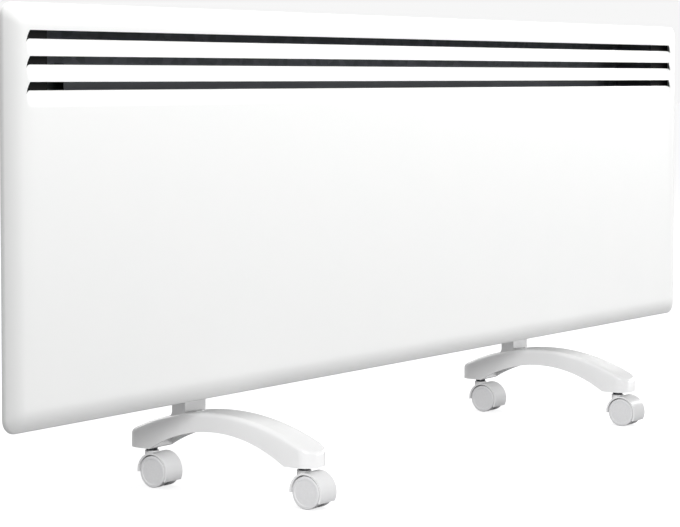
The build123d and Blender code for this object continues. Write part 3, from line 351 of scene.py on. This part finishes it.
CONTROL_ABS = moulded_grain("grained_abs_controls", "#eceeef", "#e6e8ea", 0.42, 0.55 * MM)
KNOB_ABS = moulded_gloss("gloss_abs_knob", "#c9ccd0", "#c1c4c8", 0.27)
SWITCH_ABS = moulded_grain("grained_abs_switch", "#1b1c1e", "#222325", 0.4, 0.4 * MM)
ROCKER_ABS = moulded_gloss("gloss_abs_rocker", "#18191b", "#1d1e20", 0.22)
RUBBER = moulded_grain("moulded_rubber", "#171717", "#1e1e1e", 0.7, 0.5 * MM)
AMBER = amber_lens()
MARK_INK = moulded_grain("pad_printed_ink", "#8a8d92", "#80838a", 0.5, 0.3 * MM)


# ---------------------------------------------------------------- mesh helpers
def shade(bm):
    """Smooth shading, with the sharper edges kept."""
    for face in bm.faces:
        face.smooth = True
    for line in bm.edges:
        line.smooth = len(line.link_faces) == 2 and line.calc_face_angle(pi) < SOFT_EDGE


def linked_piece(bm, name, materials):
    """The mesh as an object of the scene, with its materials."""
    mesh = bpy.data.meshes.new(name)
    bm.to_mesh(mesh)
    bm.free()
    for made in materials:
        mesh.materials.append(made)
    piece = bpy.data.objects.new(name, mesh)
    bpy.context.scene.collection.objects.link(piece)
    return piece


def finish_mesh(bm, name, materials):
    """Turns bmesh into an object with outward faces, smooth between its sharper edges."""
    bmesh.ops.remove_doubles(bm, verts=bm.verts, dist=MERGE)
    bmesh.ops.recalc_face_normals(bm, faces=bm.faces)
    shade(bm)
    return linked_piece(bm, name, materials)


def settle(piece):
    """Applies a piece's modifiers, so that its mesh is final."""
    graph = bpy.context.evaluated_depsgraph_get()
    graph.update()
    mesh = bpy.data.meshes.new_from_object(piece.evaluated_get(graph))
    old = piece.data
    piece.modifiers.clear()
    piece.data = mesh
    bpy.data.meshes.remove(old)
    return piece


def stands_for(piece, body, node):
    """A piece rides a body and takes a CAD node's place; the node is hidden."""
    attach(piece, body)
    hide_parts(node)
    return piece


def finer_copy(node, name, materials, body, bevel=0.0, paint=None):
    """A CAD node's own shape as one smooth-shaded closed mesh, with its hard edges slightly rounded."""
    bm = bmesh.new()
    bm.from_mesh(frame["nodes"][node].data)
    bmesh.ops.remove_doubles(bm, verts=bm.verts, dist=MERGE)
    bmesh.ops.dissolve_limit(bm, angle_limit=FLAT_EDGE, verts=bm.verts, edges=bm.edges)
    for face in bm.faces:
        face.material_index = paint(face) if paint else 0
    piece = finish_mesh(bm, name, materials)
    if bevel:
        rounding = piece.modifiers.new("rounded_edges", "BEVEL")
        rounding.width = bevel
        rounding.segments = ROUNDED_STEPS
        rounding.limit_method = "ANGLE"
        rounding.angle_limit = ROUNDED_EDGE
        settle(piece)
    return stands_for(piece, body, node)


def dress(node, made):
    """A CAD node keeps its mesh and gets a material."""
    mesh = frame["nodes"][node].data
    mesh.materials.clear()
    mesh.materials.append(made)


# ---------------------------------------------------------------- front panel
def panel_profile():
    """(inset, depth) of the shell's outer skin, from the hem's free edge round the rim to the face."""
    roll_radius = (RIM_RUN - FOLD_RADIUS * (1 - sin(RIM_TURN))) / sin(RIM_TURN)
    roll_depth = roll_radius * (1 - cos(RIM_TURN))
    fold_depth = FOLD_RADIUS * cos(RIM_TURN)
    low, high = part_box("front_panel")
    rear = high.y - low.y
    points = [(HEM_WIDTH, rear), (HEM_WIDTH * HEM_MIDDLE, rear), (HEM_BEND, rear),
              (HEM_BEND * BEND_MIDDLE, rear - HEM_BEND * BEND_MIDDLE), (0, rear - HEM_BEND)]
    for step in range(FOLD_STEPS + 1):
        turn = pi / 2 - (pi / 2 - RIM_TURN) * step / FOLD_STEPS
        points.append((FOLD_RADIUS * (1 - sin(turn)), roll_depth + fold_depth - FOLD_RADIUS * cos(turn)))
    for step in range(1, ROLL_STEPS + 1):
        turn = RIM_TURN * (1 - step / ROLL_STEPS)
        points.append((RIM_RUN - roll_radius * sin(turn), roll_radius * (1 - cos(turn))))
    return points


def tail_reach(share, flat, end):
    """X place on the curved end of a slit, from its top corner to its tip."""
    return flat + 2 * share * (1 - share) * TAIL_BULGE + share ** 2 * (end - flat)


def blade_depth(share):
    """How far a blade has left the face, as a share of its lean."""
    if share < BLADE_EASE:
        return share ** 2 / (2 * BLADE_EASE) / (1 - BLADE_EASE / 2)
    return (share - BLADE_EASE / 2) / (1 - BLADE_EASE / 2)


def smooth_step(value):
    """Eases a value from 0 to 1, with level ends."""
    value = min(max(value, 0), 1)
    return value * value * (3 - 2 * value)


def half_columns(flat, end):
    """X places of the shell's vertices, from the middle of the panel out to the tip of a slit's tail."""
    places = [0.0]
    for stop, step in ((MIDDLE_REACH, COARSE_COLUMN), (flat - BLADE_FADE, FINE_COLUMN),
                       (flat, FADE_COLUMN)):
        while places[-1] + step < stop - step / 4:
            places.append(places[-1] + step)
        places.append(stop)
    return places + [tail_reach(k / TAIL_STEPS, flat, end) for k in range(1, TAIL_STEPS + 1)]


def louvre(bm, half, columns, face_y, top):
    """A blade that leans in and fades out at its ends into the face, and the face round the slit's tails.
    Gives the heights of its last column, from the top down."""
    end = half[-1]
    flat = half[-1 - TAIL_STEPS]
    crease = top - LOUVRE_PITCH
    up_the_blade = [k / BLADE_STEPS for k in range(BLADE_STEPS + 1)]
    blades, faces = [], []
    for x in columns:
        reach = abs(x)
        drop = max(0.0, (reach - (end - BLADE_ROUND)) / BLADE_ROUND)
        edge = top - LOUVRE_SLIT
        edge -= (edge - (top - TAIL_HEIGHT)) * drop ** BLADE_TIP
        lean = LOUVRE_LEAN * smooth_step((end - reach) / BLADE_FADE)
        blades.append([bm.verts.new((x, face_y + lean * blade_depth(share), crease + (edge - crease) * share))
                       for share in up_the_blade])
        if reach < flat:
            faces.append(None)
            continue
        share = (half.index(reach) - half.index(flat)) / TAIL_STEPS
        opening = top - TAIL_HEIGHT * share
        faces.append([bm.verts.new((x, face_y, opening + (top - opening) * m / EDGE_STEPS))
                      for m in range(EDGE_STEPS + 1)])
    for strips in (blades, faces):
        for first, second in zip(strips, strips[1:]):
            if first and second:
                for k in range(len(first) - 1):
                    bm.faces.new((first[k], second[k], second[k + 1], first[k + 1]))
    return [v.co.z for v in reversed(faces[-1])] + [v.co.z for v in reversed(blades[-1])]


def ring_outline(columns, rows, middle_z, half_length, half_height, radius):
    """(x, z) once round a rectangle with round corners: over the columns, down the rows, and back."""
    centre_x, centre_z = half_length - radius, half_height - radius
    turns = [pi / 2 * k / CORNER_STEPS for k in range(CORNER_STEPS + 1)]
    loop = [(x, middle_z + half_height) for x in columns]
    loop += [(centre_x + radius * sin(a), middle_z + centre_z + radius * cos(a)) for a in turns]
    loop += [(half_length, z) for z in rows]
    loop += [(centre_x + radius * cos(a), middle_z - centre_z - radius * sin(a)) for a in turns]
    loop += [(x, middle_z - half_height) for x in reversed(columns)]
    loop += [(-centre_x - radius * sin(a), middle_z - centre_z - radius * cos(a)) for a in turns]
    loop += [(-half_length, z) for z in reversed(rows)]
    loop += [(-centre_x - radius * cos(a), middle_z + centre_z + radius * sin(a)) for a in turns]
    return loop


def rim_radius(inset, depth):
    """Outline radius of the skin, which shrinks from the fold to the face and to the hem's edge."""
    on_hem = depth > RIM_RUN / 3 and inset > FOLD_RADIUS
    if on_hem:
        return max(OUTLINE_RADIUS - inset, CORNER_LEAST)
    return OUTLINE_RADIUS - (OUTLINE_RADIUS - FACE_CORNER) * min(inset / RIM_RUN, 1)


def front_panel_shell():
    """One pressed sheet: rolled rim, flat face, and three louvres whose blades lean in and fade out at the
    ends into the face."""
    low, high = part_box("front_panel")
    half_length = (high.x - low.x) / 2
    half_height = (high.z - low.z) / 2
    middle_z = (high.z + low.z) / 2
    straight_x = half_length - RIM_RUN - FACE_CORNER
    straight_z = half_height - RIM_RUN - FACE_CORNER
    end = half_length - LOUVRE_MARGIN
    half = half_columns(end - LOUVRE_TAIL, end)
    columns = [-x for x in reversed(half[1:])] + half
    bm = bmesh.new()

    # louvres, and the flat face above and below them
    face_top, face_bottom = middle_z + straight_z, middle_z - straight_z
    first_top = high.z - LOUVRE_DROP
    heights = [face_top]
    for index in range(LOUVRE_COUNT):
        heights += louvre(bm, half, columns, low.y, first_top - index * LOUVRE_PITCH)
    heights.append(face_bottom)
    last_crease = first_top - LOUVRE_COUNT * LOUVRE_PITCH
    for upper, lower in ((face_top, first_top), (last_crease, face_bottom)):
        for left, right in zip(columns, columns[1:]):
            outline = ((left, lower), (right, lower), (right, upper), (left, upper))
            bm.faces.new([bm.verts.new((x, low.y, z)) for x, z in outline])

    # rim, from the hem to the face's grid
    rows = heights[:1]
    for z in heights[1:]:
        if rows[-1] - z > SHELL_MERGE:
            rows.append(z)
    loops = [(depth, ring_outline(columns, rows, middle_z, half_length - inset, half_height - inset,
                                  rim_radius(inset, depth))) for inset, depth in panel_profile()]
    loops.append((0, ring_outline(columns, rows, middle_z, straight_x, straight_z, 0)))
    rings = [[bm.verts.new((x, low.y + depth, z)) for x, z in loop] for depth, loop in loops]
    for outer, inner in zip(rings, rings[1:]):
        for k in range(len(outer)):
            n = (k + 1) % len(outer)
            bm.faces.new((outer[k], outer[n], inner[n], inner[k]))

    bmesh.ops.remove_doubles(bm, verts=bm.verts, dist=SHELL_MERGE)
    bmesh.ops.dissolve_degenerate(bm, edges=bm.edges, dist=SHELL_MERGE / 2)
    bmesh.ops.recalc_face_normals(bm, faces=bm.faces)
    widest = max(bm.faces, key=lambda face: face.calc_area())
    if widest.normal.y > 0:
        bmesh.ops.reverse_faces(bm, faces=bm.faces)
    shade(bm)
    piece = linked_piece(bm, "front_panel_shell", [PANEL_COAT, GALVANISED])
    wall = piece.modifiers.new("sheet_thickness", "SOLIDIFY")
    wall.thickness = SHEET
    wall.offset = -1.0
    wall.use_even_offset = True
    wall.thickness_clamp = 1.0
    wall.material_offset = 1
    wall.material_offset_rim = 0
    settle(piece)
    return stands_for(piece, "heater", "front_panel")


# ---------------------------------------------------------------- rear casing
def casing_shell():
    """The casing's own shape, coated outside and galvanised inside. The front of its flange is painted black
    as painted shade, for the dark ends of the slits."""
    low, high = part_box("rear_casing")
    middle = (low + high) / 2
    coated, bare, shade_painted = range(3)

    def paint(face):
        outward = face.calc_center_median() - middle
        facing = face.normal
        inside_end = abs(facing.x) > MOSTLY and facing.x * outward.x < 0
        inside_edge = abs(facing.z) > MOSTLY and facing.z * outward.z < 0
        forward = facing.y < -MOSTLY
        # painted shade: the flange's forward face is painted black where the slits' ends fall in shade
        if forward and face.calc_center_median().y < low.y + SHEET:
            return shade_painted
        return bare if inside_end or inside_edge or forward else coated

    return finer_copy("rear_casing", "rear_casing_shell", [CASING_COAT, GALVANISED, PAINTED_SHADE_BLACK], "heater",
                      paint=paint)


# ---------------------------------------------------------------- screws
def turned(bm, profile, steps):
    """A closed solid turned about the Y axis, from (radius, y) points that start and end on the axis."""
    rings = []
    for radius, y in profile:
        count = 1 if radius == 0 else steps
        rings.append([bm.verts.new((radius * cos(2 * pi * k / steps), y, radius * sin(2 * pi * k / steps)))
                      for k in range(count)])
    for first, second in zip(rings, rings[1:]):
        for k in range(steps):
            n = (k + 1) % steps
            corners = [first[k % len(first)], first[n % len(first)], second[n % len(second)],
                       second[k % len(second)]]
            bm.faces.new(list(dict.fromkeys(corners)))


def cross_recess():
    """Cutter for the recess: two crossed arms that taper inwards."""
    bm = bmesh.new()
    for turn in (0, pi / 2):
        layers = []
        for y, share in ((HEAD_HEIGHT + RECESS_PAST, 1.0), (HEAD_HEIGHT - RECESS_DEPTH, RECESS_TAPER)):
            arm, half = RECESS_ARM * share, RECESS_WIDTH / 2 * share
            layers.append([bm.verts.new((a * cos(turn) - b * sin(turn), y, a * sin(turn) + b * cos(turn)))
                           for a, b in ((-arm, -half), (arm, -half), (arm, half), (-arm, half))])
        top, bottom = layers
        bm.faces.new(top)
        bm.faces.new(reversed(bottom))
        for k in range(4):
            n = (k + 1) % 4
            bm.faces.new((top[k], bottom[k], bottom[n], top[n]))
    return finish_mesh(bm, "cross_recess", [ZINC])


def pan_head_screw(shank):
    """One screw along Y: its seat at the origin, its shank towards -Y."""
    turns = [pi / 2 * k / DOME_STEPS for k in range(DOME_STEPS)]
    dome = [(HEAD_RADIUS * cos(turn) ** HEAD_DOME, HEAD_EDGE + (HEAD_HEIGHT - HEAD_EDGE) * sin(turn))
            for turn in turns]
    bm = bmesh.new()
    turned(bm, [(0, -shank), (SHANK_RADIUS - SHANK_TIP, -shank), (SHANK_RADIUS, SHANK_TIP - shank),
                (SHANK_RADIUS, 0), (HEAD_RADIUS, 0)] + dome + [(0, HEAD_HEIGHT)], SCREW_STEPS)
    screw = finish_mesh(bm, "pan_head_screw", [ZINC])
    cutter = cross_recess()
    recess = screw.modifiers.new("cross_recess", "BOOLEAN")
    recess.operation = "DIFFERENCE"
    recess.object = cutter
    settle(screw)
    bpy.data.objects.remove(cutter)
    screw.data.shade_smooth()
    screw.data.set_sharp_from_angle(angle=SOFT_EDGE)
    return screw


def scattering():
    """Node group that puts one piece at every place, each turned by chance about Y, as a driver leaves it."""
    group = bpy.data.node_groups.new("piece_at_every_place", "GeometryNodeTree")
    for name, kind in (("Places", "NodeSocketGeometry"), ("Piece", "NodeSocketObject"),
                       ("Finish", "NodeSocketMaterial")):
        group.interface.new_socket(name, in_out="INPUT", socket_type=kind)
    group.interface.new_socket("Pieces", in_out="OUTPUT", socket_type="NodeSocketGeometry")
    given = add(group, "NodeGroupInput")
    piece = add(group, "GeometryNodeObjectInfo", {"Object": given.outputs["Piece"], "As Instance": True})
    turn = add(group, "FunctionNodeRandomValue", {"Min": (0, 0, 0), "Max": (0, pi, 0), "Seed": 0},
               data_type="FLOAT_VECTOR")
    placed = add(group, "GeometryNodeInstanceOnPoints",
                 {"Points": given.outputs["Places"], "Instance": piece.outputs["Geometry"],
                  "Rotation": turn.outputs["Value"]})
    real = add(group, "GeometryNodeRealizeInstances", {"Geometry": placed.outputs["Instances"]})
    finished = add(group, "GeometryNodeSetMaterial",
                   {"Geometry": real.outputs["Geometry"], "Material": given.outputs["Finish"]})
    add(group, "NodeGroupOutput", {"Pieces": finished.outputs["Geometry"]})
    return group


SCATTERING = scattering()


def screws_at(name, places, shank, node):
    """Screws with a cross recess in place of a CAD node's plain ones."""
    mesh = bpy.data.meshes.new(name)
    mesh.from_pydata(places, [], [])
    holder = bpy.data.objects.new(name, mesh)
    bpy.context.scene.collection.objects.link(holder)
    screw = pan_head_screw(shank)
    spread = holder.modifiers.new("screws", "NODES")
    spread.node_group = SCATTERING
    values = {"Piece": screw, "Finish": ZINC}
    for socket in SCATTERING.interface.items_tree:
        if socket.name in values:
            spread[socket.identifier] = values[socket.name]
    settle(holder)
    bpy.data.objects.remove(screw)
    return stands_for(holder, "heater", node)


def casing_screws():
    """Five along the top and the bottom of the flange, and one at each end."""
    low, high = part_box("casing_screws")
    seat = high.y - HEAD_HEIGHT
    rows = (low.z + HEAD_RADIUS, high.z - HEAD_RADIUS)
    places = [(CASING_ROW_REACH * k / 2, seat, z) for z in rows for k in range(-2, 3)]
    places += [(x, seat, sum(rows) / 2) for x in (low.x + HEAD_RADIUS, high.x - HEAD_RADIUS)]
    screws_at("casing_pan_screws", places, seat - low.y, "casing_screws")


def foot_screws():
    """Two through each foot's upright."""
    low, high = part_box("foot_screws")
    seat = high.y - HEAD_HEIGHT
    places = [(x, seat, z) for x in (low.x + HEAD_RADIUS, high.x - HEAD_RADIUS)
              for z in (low.z + HEAD_RADIUS, high.z - HEAD_RADIUS)]
    screws_at("foot_pan_screws", places, seat - low.y, "foot_screws")


# ---------------------------------------------------------------- printed marks
def printed(name, outlines, body):
    """Pad-printed marks: flat outlines, given the thickness of the ink."""
    bm = bmesh.new()
    for outline in outlines:
        bm.faces.new([bm.verts.new(point) for point in outline])
    piece = finish_mesh(bm, name, [MARK_INK])
    layer = piece.modifiers.new("ink", "SOLIDIFY")
    layer.thickness = INK
    layer.offset = 0.0
    settle(piece)
    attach(piece, body)


def dial_marks():
    """Ticks round the thermostat knob that grow from the lowest setting to the highest."""
    knob_low, knob_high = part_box("thermostat_knob")
    middle = (knob_low + knob_high) / 2
    face_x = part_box("control_housing")[1].x
    ticks = []
    for k in range(DIAL_TICKS):
        share = k / (DIAL_TICKS - 1)
        turn = DIAL_START + (DIAL_END - DIAL_START) * share
        end = DIAL_RADIUS + TICK_SHORT + (TICK_LONG - TICK_SHORT) * share
        outline = ((DIAL_RADIUS, -TICK_WIDTH / 2), (DIAL_RADIUS, TICK_WIDTH / 2), (end, TICK_WIDTH / 2),
                   (end, -TICK_WIDTH / 2))
        ticks.append([(face_x, middle.y + out * sin(turn) + side * cos(turn),
                       middle.z + out * cos(turn) - side * sin(turn)) for out, side in outline])
    printed("dial_marks", ticks, "heater")


def rocker_face(upper):
    """Middle and outward direction of one half of the rocker's face."""
    low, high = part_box("switch_rocker")
    faces = [p for p in frame["nodes"]["switch_rocker"].data.polygons
             if p.normal.x > ROCKER_OUT and (p.center.z > (low.z + high.z) / 2) == upper]
    area = sum(p.area for p in faces)
    centre = sum((p.center * p.area for p in faces), Vector()) / area
    return centre, sum((p.normal * p.area for p in faces), Vector()).normalized()


def rocker_marks():
    """I on the upper half, 0 on the lower."""
    across = Vector((0, 1, 0))
    centre, outward = rocker_face(True)
    up = outward.cross(across)
    bar = [centre + across * a * STROKE / 2 + up * b * SIGN_HALF
           for a, b in ((-1, -1), (1, -1), (1, 1), (-1, 1))]
    centre, outward = rocker_face(False)
    up = outward.cross(across)
    ring = []
    for k in range(ZERO_STEPS):
        arc = [2 * pi * (k + n) / ZERO_STEPS for n in (0, 1)]
        outer, inner = [[centre + across * (ZERO_HALF - cut) * cos(a) + up * (SIGN_HALF - cut) * sin(a)
                         for a in arc] for cut in (0, STROKE)]
        ring.append([outer[0], outer[1], inner[1], inner[0]])
    printed("rocker_marks", [bar] + ring, "rocker")


# ---------------------------------------------------------------- floor, light and camera
def floor():
    """A plain pale floor, large enough to run out of sight."""
    bpy.ops.mesh.primitive_plane_add(size=FLOOR_SIZE)
    plane = bpy.context.object
    plane.name = "studio_floor"
    made, tree, _ = start_material("pale_studio_floor")
    seen = add(tree, "ShaderNodeLightPath").outputs["Is Camera Ray"]
    glow = add(tree, "ShaderNodeMapRange", {"Value": seen, "To Min": 0.0, "To Max": FLOOR_LIFT})
    end_material(made, {"Base Color": linear("#9b9b9c"), "Roughness": 0.9, "Specular IOR Level": 0.1,
                        "Emission Color": (1, 1, 1, 1), "Emission Strength": glow})
    plane.data.materials.append(made)


def softbox(name, place, target, width, height, power):
    """A rectangular area light that faces its target."""
    light = bpy.data.lights.new(name, "AREA")
    light.shape = "RECTANGLE"
    light.size = width
    light.size_y = height
    light.energy = power
    lamp = bpy.data.objects.new(name, light)
    bpy.context.scene.collection.objects.link(lamp)
    lamp.location = place
    lamp.rotation_euler = (Vector(target) - Vector(place)).to_track_quat("-Z", "Y").to_euler()
    return lamp


def studio():
    """White world and softboxes. Feet and castors have a light of their own, because the two large lights
    would take their shading away, and a low one brightens the feet's fronts under the panel."""
    world = bpy.data.worlds.new("white_studio")
    bpy.context.scene.world = world
    world.use_nodes = True
    tree = world.node_tree
    tree.nodes.clear()
    seen = add(tree, "ShaderNodeLightPath").outputs["Is Camera Ray"]
    strength = add(tree, "ShaderNodeMapRange", {"Value": seen, "To Min": WORLD_LIGHT, "To Max": BACKGROUND})
    white = add(tree, "ShaderNodeBackground", {"Color": (1, 1, 1, 1), "Strength": strength})
    add(tree, "ShaderNodeOutputWorld", {"Surface": white})
    lamps = {name: softbox(name, *values) for name, values in SOFTBOXES.items()}
    low_pieces = bpy.data.collections.new("lit_by_foot_fill")
    other_pieces = bpy.data.collections.new("lit_from_above")
    feet = bpy.data.collections.new("lit_from_low")
    for piece in bpy.data.objects:
        if piece.type == "MESH":
            low = piece.name.startswith(("foot_moulding", "castor"))
            (low_pieces if low else other_pieces).objects.link(piece)
            if piece.name.startswith("foot_moulding"):
                feet.objects.link(piece)
    for name, lit in (("foot_fill", low_pieces), ("under_panel_fill", feet), ("top_softbox", other_pieces),
                      ("front_softbox", other_pieces)):
        lamps[name].light_linking.receiver_collection = lit
    bpy.context.scene.view_settings.view_transform = "Standard"


def camera():
    """The photograph's camera, as fitted."""
    data = bpy.data.cameras.new("photo_camera")
    data.sensor_width = SENSOR
    data.lens = FOCAL_PIXELS / PHOTO_WIDTH * SENSOR
    data.shift_y = CAMERA_SHIFT
    data.clip_end = FAR
    eye = bpy.data.objects.new("photo_camera", data)
    bpy.context.scene.collection.objects.link(eye)
    eye.location = CAMERA_PLACE
    level = cos(CAMERA_PITCH)
    ahead = Vector((sin(CAMERA_YAW) * level, cos(CAMERA_YAW) * level, -sin(CAMERA_PITCH)))
    eye.rotation_euler = ahead.to_track_quat("-Z", "Y").to_euler()
    bpy.context.scene.camera = eye


# ---------------------------------------------------------------- the heater in its studio
CORNERS = ("front_left", "front_right", "rear_left", "rear_right")

front_panel_shell()
casing_shell()
for side in ("left", "right"):
    finer_copy(f"foot_{side}", f"foot_moulding_{side}", [FOOT_ABS], "heater", bevel=0.6 * MM)
finer_copy("control_housing", "control_housing_moulding", [CONTROL_ABS], "heater",
           bevel=0.3 * MM)
finer_copy("thermostat_knob", "thermostat_knob_moulding", [KNOB_ABS], "thermostat",
           bevel=0.2 * MM)
finer_copy("switch_body", "switch_frame", [SWITCH_ABS], "heater", bevel=0.25 * MM)
finer_copy("switch_rocker", "switch_rocker_moulding", [ROCKER_ABS], "rocker",
           bevel=0.35 * MM)
finer_copy("pilot_lens", "pilot_lens_moulding", [AMBER], "heater")
finer_copy("cable_gland", "cable_gland_moulding", [GLAND_NYLON], "heater", bevel=0.3 * MM)
for place in CORNERS:
    finer_copy(f"castor_hood_{place}", f"castor_hood_moulding_{place}", [HOOD_ABS], f"castor_{place}",
               bevel=0.35 * MM)
    finer_copy(f"castor_stem_{place}", f"castor_stem_turned_{place}", [STEM_STEEL], f"castor_{place}",
               bevel=0.15 * MM)
    dress(f"castor_axle_{place}", STEM_STEEL)
    for wheel in "ab":
        finer_copy(f"castor_wheel_{place}_{wheel}", f"castor_wheel_moulding_{place}_{wheel}", [WHEEL_NYLON],
                   f"wheel_{place}_{wheel}", bevel=0.25 * MM)

for name, made in {
    "heat_shield": SHIELD_METAL, "element_profile": ELEMENT_METAL, "heating_rod": ROD_STEEL,
    "element_bushes": STEATITE, "element_brackets": ZINC, "thermal_cutout": PHENOLIC,
    "cutout_screws": ZINC, "terminal_block": NATURAL_NYLON, "earth_stud": BRASS, "gland_nut": GLAND_NYLON,
    "internal_leads": LEAD_SILICONE, "control_screws": ZINC, "thermostat_body": NATURAL_NYLON,
    "thermostat_spindle": ZINC, "wire_grommet": RUBBER, "rivet_nuts": ZINC, "stem_sockets": STEM_STEEL,
}.items():
    dress(name, made)

casing_screws()
foot_screws()
dial_marks()
rocker_marks()

floor()
studio()
camera()
